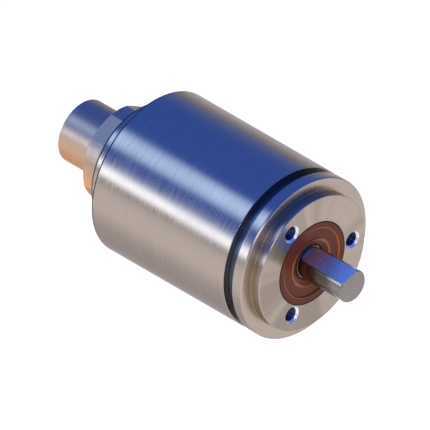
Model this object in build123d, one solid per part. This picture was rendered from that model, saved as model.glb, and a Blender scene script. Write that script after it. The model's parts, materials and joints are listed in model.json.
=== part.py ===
from build123d import *
from math import acos, cos, pi, radians, sin, sqrt, tan
import os

# A shaft encoder with a synchro flange, in millimetres.
# X runs along the shaft and out of its free end, Z is up, and x = 0 is the mounting shoulder.
# Angles are measured about X, from +Y towards +Z.

# Outside: flange, tube, rear cover
BODY_R = 25.0
SPIGOT_R = 21.0
SPIGOT_LENGTH = 3.3
SPIGOT_CHAMFER = 0.2
RIM_DEPTH = 3.5
RIM_CHAMFER = 0.4
GROOVE_WIDTH = 3.5
REGISTER_R = 22.95
TUBE_BORE_R = 23.0
TUBE_FRONT = -(RIM_DEPTH + GROOVE_WIDTH)
TUBE_REAR = -59.6
TUBE_CHAMFER = 0.2
TUBE_REAR_CHAMFER = 0.45
PLATE_REAR = -14.0
BOSS_R = 19.0
BOSS_CHAMFER = 0.5
COVER_REAR = -65.8
COVER_FRONT = -54.8
COVER_CAVITY_R = 16.0
COVER_WALL = 3.8

# Threaded holes in the front face, M5 tapping size with a wide lead-in
HOLE_COUNT = 3
HOLE_CIRCLE_R = 16.0
HOLE_R = 2.1
HOLE_MOUTH_R = 2.7
HOLE_DEPTH = 9.0

# O-rings
O_RING_R = 0.79
O_RING_CIRCLE_R = 22.2
O_RING_GROOVE_R = 21.4
O_RING_GROOVE_WIDTH = 2.2
FLANGE_O_RING_X = -10.8
COVER_O_RING_X = -57.0

# Radial shaft seal, 10 x 26 x 7
SEAL_R = 13.0
SEAL_WIDTH = 7.0
SEAL_CASE_R = 12.5
SEAL_CASE_SHEET = 0.6
SEAL_WEB_INNER_R = 8.2
LIP_CLEARANCE = 0.04
GARTER_CIRCLE_R = 7.0
GARTER_R = 0.5

# Shaft
SHAFT_R = 5.0
SHAFT_TIP = 19.5
SHAFT_CHAMFER = 0.3
FLAT_HEIGHT = 4.0
FLAT_ANGLE = 107.0
FLAT_START = 2.7
RELIEF_REAR = 2.2
RELIEF_FRONT = 3.45
RELIEF_R = 4.75
COLLAR_R = 6.4
REAR_JOURNAL_R = 4.0
REAR_JOURNAL_FRONT = -31.5
REAR_JOURNAL_REAR = -40.2
TAIL_R = 1.5
TAIL_REAR = -45.4

# Two deep-groove ball bearings, 10 x 26 x 8
BEARING_R = 13.0
BEARING_WIDTH = 8.0
BALL_COUNT = 7
BALL_R = 2.381
RACE_R = 2.395
BALL_CIRCLE_R = 9.0
INNER_LAND_R = 7.4
OUTER_LAND_R = 10.6
CAGE_HALF_WIDTH = 3.2
CAGE_INNER_R = 8.1
CAGE_OUTER_R = 9.9
POCKET_R = 2.46
FRONT_BEARING_FRONT = SPIGOT_LENGTH - SEAL_WIDTH - 1.5
FRONT_BEARING_REAR = FRONT_BEARING_FRONT - BEARING_WIDTH
REAR_BEARING_FRONT = FRONT_BEARING_REAR - 8.0
REAR_BEARING_REAR = REAR_BEARING_FRONT - BEARING_WIDTH
PRELOAD_WASHER_REAR = REAR_BEARING_REAR - 0.8
CIRCLIP_REAR = PRELOAD_WASHER_REAR - 1.2
CIRCLIP_GROOVE_R = 13.7
SHAFT_CLIP_REAR = REAR_BEARING_REAR - 1.0
SHAFT_CLIP_GROOVE_R = 4.6
HUB_R = 17.0
HUB_REAR = -33.0
HUB_LIP_R = 11.0

# Code disc on its hub, and the light source that looks through it
DISC_R = 17.0
DISC_FRONT = -37.9
DISC_REAR = -38.9
DISC_BORE_R = 4.2
DISC_HUB_FRONT = -32.4
DISC_HUB_R = 6.5
DISC_HUB_FLANGE_R = 9.0
DISC_HUB_FLANGE = 1.0
CLAMP_RING_R = 8.0
CLAMP_RING_REAR = -39.6
TRACK_R = 15.3
LAMP_ANGLE = 90.0
LAMP_DEPTH = 3.6
LED_R = 1.5
SET_SCREW_X = -34.6
SET_SCREW_R = 1.0

# Board stack behind the disc
BOARD_R = 22.0
SENSOR_BOARD_FRONT = -41.4
SENSOR_BOARD_REAR = -43.0
GEAR_PLATE_FRONT = -47.8
GEAR_PLATE_REAR = -49.0
INTERFACE_BOARD_FRONT = -51.0
INTERFACE_BOARD_REAR = -52.6
STACK_CIRCLE_R = 20.6
STACK_ANGLES = (30.0, 150.0, 270.0)
STANDOFF_R = 1.8
STACK_SCREW_R = 0.9
STACK_SCREW_FRONT = -37.4
STACK_HEAD_R = 1.7
STACK_HEAD_REAR = -54.0
RIBBON_ANGLE = 210.0
RIBBON_R = 20.2

# Turn-counting gears: shaft pinion to first wheel, first wheel's pinion to second wheel
GEAR_MODULE = 0.4
PRESSURE_ANGLE = radians(20.0)
PINION_TEETH = 15
WHEEL_TEETH = 45
BACKLASH = 0.12
WHEEL_CIRCLE_R = GEAR_MODULE * (PINION_TEETH + WHEEL_TEETH) / 2
FIRST_WHEEL_ANGLE = 0.0
SECOND_WHEEL_ANGLE = 60.0
WHEEL_HUB_R = 2.3
WHEEL_HUB_FRONT = -43.9
WHEEL_PIN_R = 0.75
WHEEL_BORE_R = 0.79
WHEEL_PIN_FRONT = -45.0
WHEEL_BORE_FRONT = -44.9
MAGNET_R = 1.6
MAGNET_DEPTH = 0.7
SHAFT_PINION_X = (-45.3, -43.9)
FIRST_WHEEL_X = (-45.2, -44.0)
FIRST_PINION_X = (-46.8, -45.2)
SECOND_WHEEL_X = (-46.7, -45.7)

# Connector at the rear: hexagon, smooth shell, insert and contacts
HEX_ACROSS_FLATS = 27.8
HEX_CORNER_R = 14.6
HEX_REAR = -73.8
HEX_CHAMFER = 0.8
SHELL_R = 9.65
SHELL_REAR = -88.1
SHELL_CHAMFER = 0.4
SOCKET_R = 8.2
SOCKET_FLOOR = -76.0
TAIL_BORE_R = 6.8
THREAD_R = 8.5
THREAD_FRONT = -60.6
CONNECTOR_O_RING_R = 0.69
CONNECTOR_O_RING_CIRCLE_R = 11.0
INSERT_REAR = -79.0
INSERT_FRONT = -64.0
CONTACT_R = 0.5
CONTACT_TIP = -84.0
CONTACT_CUP = -62.4
OUTER_CONTACTS = 8
OUTER_CONTACT_R = 5.2
INNER_CONTACTS = 4
INNER_CONTACT_R = 2.2
WIRE_R = 0.45
HEADER_R = 7.2
HEADER_REAR = -55.8
KEY_WIDTH = 1.6


def turned(*corners):
    """Solid turned about the shaft axis from the (x, radius) corners of half its section."""
    outline = Polyline(*corners, close=True)
    return revolve(make_face(outline), Axis.X)


def ring(x_from, x_to, inner_r, outer_r):
    return turned((x_from, inner_r), (x_to, inner_r), (x_to, outer_r), (x_from, outer_r))


def at(radius, angle, x=0.0):
    """Place at this radius and angle about the shaft axis."""
    return Pos(x, radius * cos(radians(angle)), radius * sin(radians(angle)))


def rod(x_from, x_to, radius):
    return Pos((x_from + x_to) / 2, 0, 0) * Rot(0, 90, 0) * Cylinder(radius, abs(x_to - x_from))


def spoke_box(x_from, x_to, radial_from, radial_to, width, angle):
    """Box that lies along a radius of the shaft axis, at this angle."""
    size_x = abs(x_to - x_from)
    size_r = radial_to - radial_from
    box = Pos((x_from + x_to) / 2, (radial_from + radial_to) / 2, 0) * Box(size_x, size_r, width)
    return Rot(angle, 0, 0) * box


def torus(x, circle_r, section_r):
    return Pos(x, 0, 0) * Rot(0, 90, 0) * Torus(circle_r, section_r)


def spread(shape, radius, angles):
    return [at(radius, angle) * shape for angle in angles]


def even_angles(count, start=0.0):
    return [start + 360.0 * i / count for i in range(count)]


def involute(angle):
    return tan(angle) - angle


def toothed(teeth, x_range):
    """Spur gear about the shaft axis with one tooth on +Y."""
    pitch_r = GEAR_MODULE * teeth / 2
    base_r = pitch_r * cos(PRESSURE_ANGLE)
    root_r = pitch_r - 1.2 * GEAR_MODULE
    tip_r = pitch_r + 0.8 * GEAR_MODULE
    half_at_pitch = pi / (2 * teeth) * (1 - BACKLASH)
    flank = []
    for radius in (root_r, max(base_r, root_r + 0.05), pitch_r, tip_r):
        roll = acos(min(1.0, base_r / radius))
        flank.append((radius, half_at_pitch + involute(PRESSURE_ANGLE) - involute(roll)))
    corners = []
    for tooth in range(teeth):
        middle = 2 * pi * tooth / teeth
        corners += [(r * cos(middle - a), r * sin(middle - a)) for r, a in flank]
        corners += [(r * cos(middle + a), r * sin(middle + a)) for r, a in reversed(flank)]
    face = make_face(Plane.YZ * Polyline(*corners, close=True))
    x_low, x_high = min(x_range), max(x_range)
    return Pos(x_low, 0, 0) * extrude(face, x_high - x_low, dir=(1, 0, 0))


def make_front_flange():
    pocket_floor = SPIGOT_LENGTH - SEAL_WIDTH
    body = turned(
        (SPIGOT_LENGTH, SEAL_R),
        (SPIGOT_LENGTH, SPIGOT_R - SPIGOT_CHAMFER),
        (SPIGOT_LENGTH - SPIGOT_CHAMFER, SPIGOT_R),
        (0.0, SPIGOT_R),
        (0.0, BODY_R - RIM_CHAMFER),
        (-RIM_CHAMFER, BODY_R),
        (-RIM_DEPTH, BODY_R),
        (-RIM_DEPTH, REGISTER_R),
        (PLATE_REAR, REGISTER_R),
        (PLATE_REAR, HUB_R),
        (HUB_REAR, HUB_R),
        (HUB_REAR, BEARING_R),
        (FRONT_BEARING_FRONT, BEARING_R),
        (FRONT_BEARING_FRONT, HUB_LIP_R),
        (pocket_floor, HUB_LIP_R),
        (pocket_floor, SEAL_R),
    )
    half = O_RING_GROOVE_WIDTH / 2
    body -= ring(FLANGE_O_RING_X - half, FLANGE_O_RING_X + half, O_RING_GROOVE_R, REGISTER_R + 1)
    body -= ring(CIRCLIP_REAR, PRELOAD_WASHER_REAR, BEARING_R - 1, CIRCLIP_GROOVE_R)
    mouth_depth = HOLE_MOUTH_R - HOLE_R
    drill = turned(
        (SPIGOT_LENGTH + 1, 0),
        (SPIGOT_LENGTH + 1, HOLE_MOUTH_R),
        (SPIGOT_LENGTH, HOLE_MOUTH_R),
        (SPIGOT_LENGTH - mouth_depth, HOLE_R),
        (SPIGOT_LENGTH - HOLE_DEPTH, HOLE_R),
        (SPIGOT_LENGTH - HOLE_DEPTH - HOLE_R / sqrt(3), 0),
    )
    for hole in spread(drill, HOLE_CIRCLE_R, even_angles(HOLE_COUNT)):
        body -= hole
    return body


def make_housing_tube():
    return turned(
        (TUBE_FRONT, TUBE_BORE_R),
        (TUBE_FRONT, BODY_R - TUBE_CHAMFER),
        (TUBE_FRONT - TUBE_CHAMFER, BODY_R),
        (TUBE_REAR + TUBE_REAR_CHAMFER, BODY_R),
        (TUBE_REAR, BODY_R - TUBE_REAR_CHAMFER),
        (TUBE_REAR, TUBE_BORE_R),
    )


def make_rear_cover():
    wall_front = COVER_REAR + COVER_WALL
    body = turned(
        (COVER_FRONT, COVER_CAVITY_R + 3),
        (COVER_FRONT, REGISTER_R),
        (TUBE_REAR, REGISTER_R),
        (TUBE_REAR, BOSS_R),
        (COVER_REAR + BOSS_CHAMFER, BOSS_R),
        (COVER_REAR, BOSS_R - BOSS_CHAMFER),
        (COVER_REAR, THREAD_R),
        (wall_front, THREAD_R),
        (wall_front, COVER_CAVITY_R),
        (TUBE_REAR + 2, COVER_CAVITY_R),
        (TUBE_REAR + 2, COVER_CAVITY_R + 3),
    )
    half = O_RING_GROOVE_WIDTH / 2
    body -= ring(COVER_O_RING_X - half, COVER_O_RING_X + half, O_RING_GROOVE_R, REGISTER_R + 1)
    return body


def make_seal():
    """Rubber body, steel case and garter spring of the radial shaft seal."""
    front = SPIGOT_LENGTH
    rear = front - SEAL_WIDTH
    lip_r = SHAFT_R + LIP_CLEARANCE
    web_front = front - 2.0
    web_rear = web_front - SEAL_CASE_SHEET
    garter_x = rear + 2.1
    rubber = turned(
        (front, SEAL_R - 0.25),
        (front - 0.25, SEAL_R),
        (rear, SEAL_R),
        (rear, SEAL_CASE_R),
        (web_front, SEAL_CASE_R),
        (web_front, SEAL_WEB_INNER_R),
        (web_rear, SEAL_WEB_INNER_R),
        (web_rear, GARTER_CIRCLE_R + 0.3),
        (rear + 1.1, GARTER_CIRCLE_R),
        (rear + 1.1, lip_r + 0.9),
        (garter_x, lip_r),
        (garter_x + 0.7, lip_r + 0.7),
        (web_rear + 0.5, lip_r + 0.7),
        (web_front + 0.6, lip_r),
        (front - 0.9, lip_r + 0.5),
        (front - 0.4, 7.0),
        (front - 0.15, 7.3),
        (front - 0.5, 7.8),
        (front - 0.5, 10.6),
        (front - 0.1, 10.8),
        (front, 11.0),
    )
    garter = torus(garter_x, GARTER_CIRCLE_R, GARTER_R)
    case = turned(
        (web_front, SEAL_CASE_R),
        (rear + 0.2, SEAL_CASE_R),
        (rear + 0.2, SEAL_CASE_R - SEAL_CASE_SHEET),
        (web_rear, SEAL_CASE_R - SEAL_CASE_SHEET),
        (web_rear, SEAL_WEB_INNER_R),
        (web_front, SEAL_WEB_INNER_R),
    )
    return {"seal_rubber": rubber - garter, "seal_case": case, "seal_garter_spring": garter}


def make_bearing(name, x_front):
    """Rings, balls and cage of one ball bearing whose front face is at x_front."""
    x_rear = x_front - BEARING_WIDTH
    x_mid = (x_front + x_rear) / 2
    race = torus(x_mid, BALL_CIRCLE_R, RACE_R)
    ball_angles = even_angles(BALL_COUNT)
    balls = spread(Pos(x_mid, 0, 0) * Sphere(BALL_R), BALL_CIRCLE_R, ball_angles)
    cage = ring(x_mid - CAGE_HALF_WIDTH, x_mid + CAGE_HALF_WIDTH, CAGE_INNER_R, CAGE_OUTER_R)
    for pocket in spread(Pos(x_mid, 0, 0) * Sphere(POCKET_R), BALL_CIRCLE_R, ball_angles):
        cage -= pocket
    return {
        name + "_outer_ring": ring(x_rear, x_front, OUTER_LAND_R, BEARING_R) - race,
        name + "_inner_ring": ring(x_rear, x_front, SHAFT_R, INNER_LAND_R) - race,
        name + "_balls": balls,
        name + "_cage": cage,
    }


def make_shaft():
    body = turned(
        (SHAFT_TIP, 0),
        (SHAFT_TIP, SHAFT_R - SHAFT_CHAMFER),
        (SHAFT_TIP - SHAFT_CHAMFER, SHAFT_R),
        (RELIEF_FRONT, SHAFT_R),
        (RELIEF_FRONT, RELIEF_R),
        (RELIEF_REAR, RELIEF_R),
        (RELIEF_REAR, SHAFT_R),
        (FRONT_BEARING_REAR, SHAFT_R),
        (FRONT_BEARING_REAR, COLLAR_R),
        (REAR_BEARING_FRONT, COLLAR_R),
        (REAR_BEARING_FRONT, SHAFT_R),
        (REAR_BEARING_REAR, SHAFT_R),
        (REAR_BEARING_REAR, SHAFT_CLIP_GROOVE_R),
        (SHAFT_CLIP_REAR, SHAFT_CLIP_GROOVE_R),
        (SHAFT_CLIP_REAR, SHAFT_R),
        (REAR_JOURNAL_FRONT, SHAFT_R),
        (REAR_JOURNAL_FRONT, REAR_JOURNAL_R),
        (REAR_JOURNAL_REAR, REAR_JOURNAL_R),
        (REAR_JOURNAL_REAR, TAIL_R),
        (TAIL_REAR, TAIL_R),
        (TAIL_REAR, 0),
    )
    return body - spoke_box(FLAT_START, SHAFT_TIP + 1, FLAT_HEIGHT, SHAFT_R + 1, 4 * SHAFT_R, FLAT_ANGLE)


def make_retainers():
    """Outer spacer, preload washer and the two circlips that hold the bearings."""
    hub_clip = ring(CIRCLIP_REAR, PRELOAD_WASHER_REAR, BEARING_R - 2.2, CIRCLIP_GROOVE_R)
    hub_clip -= spoke_box(CIRCLIP_REAR - 1, PRELOAD_WASHER_REAR + 1, 5, 15, 7.0, 270)
    for angle in (235.0, 305.0):
        lug = Rot(angle, 0, 0) * Pos(0, BEARING_R - 3.0, 0) * rod(CIRCLIP_REAR, PRELOAD_WASHER_REAR, 1.5)
        eye = Rot(angle, 0, 0) * Pos(0, BEARING_R - 3.0, 0) * rod(CIRCLIP_REAR - 1, HUB_REAR + 4, 0.7)
        hub_clip = hub_clip + lug - eye
    shaft_clip = ring(SHAFT_CLIP_REAR, REAR_BEARING_REAR, SHAFT_CLIP_GROOVE_R, 6.2)
    shaft_clip -= spoke_box(SHAFT_CLIP_REAR - 1, REAR_BEARING_REAR + 1, 3, 8, 6.0, 270)
    return {
        "bearing_spacer": ring(REAR_BEARING_FRONT, FRONT_BEARING_REAR, OUTER_LAND_R, BEARING_R),
        "preload_washer": ring(PRELOAD_WASHER_REAR, REAR_BEARING_REAR, OUTER_LAND_R + 0.3, BEARING_R - 0.1),
        "hub_circlip": hub_clip,
        "shaft_circlip": shaft_clip,
    }


def make_code_disc():
    """Glass code disc, its hub with two set screws, and its clamping ring."""
    screw = Rot(0, -90, 0) * rod(REAR_JOURNAL_R, DISC_HUB_R - 0.2, SET_SCREW_R)
    screw = Pos(SET_SCREW_X, 0, 0) * screw
    screws = [Rot(angle, 0, 0) * screw for angle in (0.0, 120.0)]
    hub = turned(
        (DISC_HUB_FRONT, REAR_JOURNAL_R),
        (DISC_HUB_FRONT, DISC_HUB_R - 0.3),
        (DISC_HUB_FRONT - 0.3, DISC_HUB_R),
        (DISC_FRONT + DISC_HUB_FLANGE, DISC_HUB_R),
        (DISC_FRONT + DISC_HUB_FLANGE, DISC_HUB_FLANGE_R),
        (DISC_FRONT, DISC_HUB_FLANGE_R),
        (DISC_FRONT, REAR_JOURNAL_R),
    )
    for piece in screws:
        hub -= piece
    return {
        "disc_hub": hub,
        "disc_hub_set_screws": screws,
        "code_disc": ring(DISC_REAR, DISC_FRONT, DISC_BORE_R, DISC_R),
        "disc_clamp_ring": ring(CLAMP_RING_REAR, DISC_REAR, REAR_JOURNAL_R, CLAMP_RING_R),
    }


def make_lamp():
    """Light source on the hub's rear face: holder, emitter, lens and two screws."""
    holder = spoke_box(HUB_REAR - LAMP_DEPTH, HUB_REAR, TRACK_R - 1.9, TRACK_R + 2.0, 13.0, LAMP_ANGLE)
    bore = at(TRACK_R, LAMP_ANGLE) * rod(HUB_REAR - LAMP_DEPTH, HUB_REAR, LED_R)
    holder -= bore
    lens_rear = HUB_REAR - LAMP_DEPTH
    lens_front = lens_rear + 1.4
    emitter = at(TRACK_R, LAMP_ANGLE) * rod(lens_front, HUB_REAR, LED_R)
    lens = at(TRACK_R, LAMP_ANGLE) * rod(lens_rear, lens_front, LED_R)
    dome = at(TRACK_R, LAMP_ANGLE, lens_rear + 1.2) * Sphere(1.9)
    screws = []
    for side in (-4.8, 4.8):
        place = Rot(LAMP_ANGLE, 0, 0) * Pos(0, TRACK_R, side)
        shank = place * rod(lens_rear, HUB_REAR, 0.7)
        head = place * rod(lens_rear - 0.8, lens_rear, 1.3)
        holder -= shank
        screws.append(shank + head)
    return {
        "lamp_holder": holder,
        "led_emitter": emitter,
        "collimator_lens": lens & dome,
        "lamp_screws": screws,
    }


def board(x_rear, x_front, centre_hole_r):
    plate = ring(x_rear, x_front, centre_hole_r, BOARD_R) if centre_hole_r else rod(x_rear, x_front, BOARD_R)
    for hole in spread(rod(x_rear, x_front, STACK_SCREW_R + 0.1), STACK_CIRCLE_R, STACK_ANGLES):
        plate -= hole
    return plate


def make_stack():
    """Boards, gear plate, standoffs, spacers and the long screws through them."""
    ribbon = spoke_box(INTERFACE_BOARD_FRONT, SENSOR_BOARD_REAR, RIBBON_R, RIBBON_R + 0.3, 8.0, RIBBON_ANGLE)
    notch = spoke_box(GEAR_PLATE_REAR - 1, GEAR_PLATE_FRONT + 1, RIBBON_R - 1, BOARD_R + 2, 9.5, RIBBON_ANGLE)
    gear_plate = board(GEAR_PLATE_REAR, GEAR_PLATE_FRONT, 4.0) - notch
    pins = []
    for angle in (FIRST_WHEEL_ANGLE, SECOND_WHEEL_ANGLE):
        pin = at(WHEEL_CIRCLE_R, angle) * rod(GEAR_PLATE_REAR, WHEEL_PIN_FRONT, WHEEL_PIN_R)
        gear_plate -= pin
        pins.append(pin)
    screw_hole = rod(STACK_SCREW_FRONT, SENSOR_BOARD_FRONT, STACK_SCREW_R)
    standoff = rod(SENSOR_BOARD_FRONT, PLATE_REAR, STANDOFF_R) - screw_hole
    spacer_bore = STACK_SCREW_R + 0.1
    gear_spacer = ring(GEAR_PLATE_FRONT, SENSOR_BOARD_REAR, spacer_bore, STANDOFF_R)
    rear_spacer = ring(INTERFACE_BOARD_FRONT, GEAR_PLATE_REAR, spacer_bore, STANDOFF_R)
    screw = rod(STACK_SCREW_FRONT, INTERFACE_BOARD_REAR, STACK_SCREW_R)
    screw += rod(INTERFACE_BOARD_REAR, STACK_HEAD_REAR, STACK_HEAD_R)
    screw -= Pos(STACK_HEAD_REAR, 0, 0) * Box(1.2, 0.4, 2.6)
    chip = spoke_box(SENSOR_BOARD_FRONT, SENSOR_BOARD_FRONT + 1.0, TRACK_R - 2.5, TRACK_R + 2.0, 8.0, LAMP_ANGLE)
    mask_front = SENSOR_BOARD_FRONT + 1.8
    mask = spoke_box(SENSOR_BOARD_FRONT + 1.0, mask_front, TRACK_R - 1.8, TRACK_R + 1.5, 6.0, LAMP_ANGLE)
    hall = rod(SENSOR_BOARD_REAR - 0.5, SENSOR_BOARD_REAR, 1.4)
    hall_angles = (FIRST_WHEEL_ANGLE, SECOND_WHEEL_ANGLE)
    board_parts = []
    for angle in (60.0, 130.0, 240.0, 310.0):
        board_parts.append(
            spoke_box(INTERFACE_BOARD_REAR - 1.6, INTERFACE_BOARD_REAR, 9.5, 13.5, 5.0, angle)
        )
    return {
        "sensor_board": board(SENSOR_BOARD_REAR, SENSOR_BOARD_FRONT, 5.0),
        "gear_plate": gear_plate,
        "interface_board": board(INTERFACE_BOARD_REAR, INTERFACE_BOARD_FRONT, None),
        "board_standoffs": spread(standoff, STACK_CIRCLE_R, STACK_ANGLES),
        "gear_spacers": spread(gear_spacer, STACK_CIRCLE_R, STACK_ANGLES),
        "rear_spacers": spread(rear_spacer, STACK_CIRCLE_R, STACK_ANGLES),
        "stack_screws": spread(screw, STACK_CIRCLE_R, STACK_ANGLES),
        "gear_axle_pins": pins,
        "photo_sensor": chip,
        "scanning_mask": mask,
        "hall_sensors": spread(hall, WHEEL_CIRCLE_R, hall_angles),
        "controller_chip": Pos(INTERFACE_BOARD_FRONT + 0.6, -5, 0) * Box(1.2, 9, 9),
        "power_components": board_parts,
        "board_ribbon": ribbon,
    }


def make_wheel(wheel_x, angle, pinion_x=None):
    """Counting wheel with its hub, blind bore and magnet pocket, and its pinion if it drives another."""
    wheel = toothed(WHEEL_TEETH, wheel_x) + rod(min(wheel_x), WHEEL_HUB_FRONT, WHEEL_HUB_R)
    rear = min(wheel_x)
    if pinion_x:
        wheel += toothed(PINION_TEETH, pinion_x)
        rear = min(pinion_x)
    wheel -= rod(rear, WHEEL_BORE_FRONT, WHEEL_BORE_R)
    magnet = rod(WHEEL_HUB_FRONT - MAGNET_DEPTH, WHEEL_HUB_FRONT, MAGNET_R)
    wheel -= magnet
    place = at(WHEEL_CIRCLE_R, angle)
    return place * wheel, place * magnet


def contact_places():
    places = [(OUTER_CONTACT_R, angle) for angle in even_angles(OUTER_CONTACTS, 22.5)]
    places += [(INNER_CONTACT_R, angle) for angle in even_angles(INNER_CONTACTS, 45.0)]
    return places


def make_connector():
    """Receptacle screwed into the rear cover: shell, O-ring, insert, contacts, leads and header."""
    hexagon = Plane.YZ * Rot(0, 0, 30) * RegularPolygon(HEX_ACROSS_FLATS / 2, 6, major_radius=False)
    hex_block = Pos(HEX_REAR, 0, 0) * extrude(hexagon, COVER_REAR - HEX_REAR, dir=(1, 0, 0))
    hex_turning = turned(
        (COVER_REAR, 0),
        (COVER_REAR, HEX_CORNER_R - HEX_CHAMFER),
        (COVER_REAR - HEX_CHAMFER / 2, HEX_CORNER_R),
        (HEX_REAR + HEX_CHAMFER / 2, HEX_CORNER_R),
        (HEX_REAR, HEX_CORNER_R - HEX_CHAMFER),
        (HEX_REAR, 0),
    )
    barrel = turned(
        (HEX_REAR, 0),
        (HEX_REAR, SHELL_R),
        (SHELL_REAR + SHELL_CHAMFER, SHELL_R),
        (SHELL_REAR, SHELL_R - SHELL_CHAMFER),
        (SHELL_REAR, 0),
    )
    shell = (hex_block & hex_turning) + barrel + rod(COVER_REAR, THREAD_FRONT, THREAD_R)
    shell -= rod(SHELL_REAR, SOCKET_FLOOR, SOCKET_R)
    shell -= rod(SOCKET_FLOOR, THREAD_FRONT, TAIL_BORE_R)
    key = spoke_box(INSERT_REAR, SHELL_REAR + 2.0, SOCKET_R - 0.9, SOCKET_R + 0.4, KEY_WIDTH, 90)
    shell += key
    o_ring_x = COVER_REAR - CONNECTOR_O_RING_R
    groove_r = CONNECTOR_O_RING_CIRCLE_R
    groove_half = CONNECTOR_O_RING_R + 0.2
    shell -= ring(COVER_REAR - 2 * CONNECTOR_O_RING_R, COVER_REAR, groove_r - groove_half, groove_r + groove_half)
    insert = rod(INSERT_REAR, SOCKET_FLOOR, SOCKET_R - 0.05) + rod(SOCKET_FLOOR, INSERT_FRONT, TAIL_BORE_R - 0.05)
    contacts = []
    leads = []
    header = rod(HEADER_REAR, INTERFACE_BOARD_REAR, HEADER_R)
    for radius, angle in contact_places():
        contact = rod(CONTACT_TIP + 0.4, CONTACT_CUP, CONTACT_R)
        contact += at(0, 0, CONTACT_TIP + CONTACT_R) * Sphere(CONTACT_R)
        contact = at(radius, angle) * contact
        insert -= contact
        contacts.append(contact)
        leads.append(at(radius, angle) * rod(CONTACT_CUP, HEADER_REAR, WIRE_R))
    return {
        "connector_shell": shell,
        "connector_o_ring": torus(o_ring_x, CONNECTOR_O_RING_CIRCLE_R, CONNECTOR_O_RING_R),
        "connector_insert": insert,
        "connector_contacts": contacts,
        "connector_leads": leads,
        "board_header": header,
    }


def save(name, shape):
    solids = shape if isinstance(shape, list) else [shape]
    solids = [solid for piece in solids for solid in piece.solids()]
    export_step(Compound(solids) if len(solids) > 1 else solids[0], "parts/" + name + ".step")


os.makedirs("parts", exist_ok=True)
nodes = {
    "front_flange": make_front_flange(),
    "housing_tube": make_housing_tube(),
    "rear_cover": make_rear_cover(),
    "flange_o_ring": torus(FLANGE_O_RING_X, O_RING_CIRCLE_R, O_RING_R),
    "cover_o_ring": torus(COVER_O_RING_X, O_RING_CIRCLE_R, O_RING_R),
    "shaft": make_shaft(),
}
nodes.update(make_seal())
nodes.update(make_bearing("front_bearing", FRONT_BEARING_FRONT))
nodes.update(make_bearing("rear_bearing", REAR_BEARING_FRONT))
nodes.update(make_retainers())
nodes.update(make_code_disc())
nodes.update(make_lamp())
nodes.update(make_stack())
nodes["shaft_pinion"] = toothed(PINION_TEETH, SHAFT_PINION_X) - rod(*SHAFT_PINION_X, TAIL_R)
first_wheel = make_wheel(FIRST_WHEEL_X, FIRST_WHEEL_ANGLE, FIRST_PINION_X)
nodes["first_counter_wheel"], nodes["first_wheel_magnet"] = first_wheel
second_wheel = make_wheel(SECOND_WHEEL_X, SECOND_WHEEL_ANGLE)
nodes["second_counter_wheel"], nodes["second_wheel_magnet"] = second_wheel
nodes.update(make_connector())
for node_name, node_shape in nodes.items():
    save(node_name, node_shape)
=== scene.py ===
import json
from math import cos, pi, radians, sin

import bmesh
import bpy
from mathutils import Matrix, Vector


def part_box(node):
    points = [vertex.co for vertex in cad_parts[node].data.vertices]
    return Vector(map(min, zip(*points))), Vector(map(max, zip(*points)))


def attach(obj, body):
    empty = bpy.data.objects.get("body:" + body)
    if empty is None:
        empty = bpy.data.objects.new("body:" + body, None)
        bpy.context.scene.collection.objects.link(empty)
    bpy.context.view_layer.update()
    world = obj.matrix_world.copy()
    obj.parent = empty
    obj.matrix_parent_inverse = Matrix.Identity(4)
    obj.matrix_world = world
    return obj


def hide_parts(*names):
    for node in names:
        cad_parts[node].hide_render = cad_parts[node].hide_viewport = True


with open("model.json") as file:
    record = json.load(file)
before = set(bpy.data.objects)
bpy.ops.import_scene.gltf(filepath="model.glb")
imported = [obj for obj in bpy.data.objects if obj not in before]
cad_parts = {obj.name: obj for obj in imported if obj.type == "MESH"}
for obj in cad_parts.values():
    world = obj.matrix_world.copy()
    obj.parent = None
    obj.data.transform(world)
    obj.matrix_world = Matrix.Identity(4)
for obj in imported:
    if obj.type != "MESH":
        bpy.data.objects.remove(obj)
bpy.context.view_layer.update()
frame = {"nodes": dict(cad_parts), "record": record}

MM = 0.001
MOUNTS = {mount["name"]: mount for mount in frame["record"]["mounts"]}


def span(node):
    """Front x, rear x and outer radius of a turned CAD node, in millimetres."""
    low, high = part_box(node)
    return high.x / MM, low.x / MM, max(high.y, -low.y, high.z) / MM


def size_of(mount, key):
    return MOUNTS[mount]["dims"][key]


# Sizes in millimetres, read from the frame. X runs along the shaft, x = 0 is the mounting shoulder.
FACE_X, HUB_REAR, BODY_R = span("front_flange")
TUBE_FRONT, TUBE_REAR, TUBE_R = span("housing_tube")
COVER_FRONT, COVER_REAR, REGISTER_R = span("rear_cover")
SHAFT_TIP, SHAFT_TAIL, COLLAR_R = span("shaft")
SEAL_FRONT, SEAL_REAR, SEAL_R = span("seal_rubber")
THREAD_FRONT, SHELL_REAR, HEX_CORNER_R = span("connector_shell")
_, INSERT_REAR, _ = span("connector_insert")
BEARING_FRONT, _, BEARING_R = span("front_bearing_outer_ring")
_, CLIP_REAR, CLIP_GROOVE_R = span("hub_circlip")
SPACER_FRONT, SPACER_REAR, _ = span("bearing_spacer")
SHAFT_CLIP_FRONT, SHAFT_CLIP_REAR, _ = span("shaft_circlip")
SPIGOT_R = size_of("centring_spigot", "r_mm")
SHAFT_R = size_of("shaft_end", "r_mm")
HOLE_R = size_of("face_holes", "hole_r_mm")
HOLE_CIRCLE_R = size_of("face_holes", "pcd_mm") / 2
HOLE_COUNT = size_of("face_holes", "count")

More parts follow.
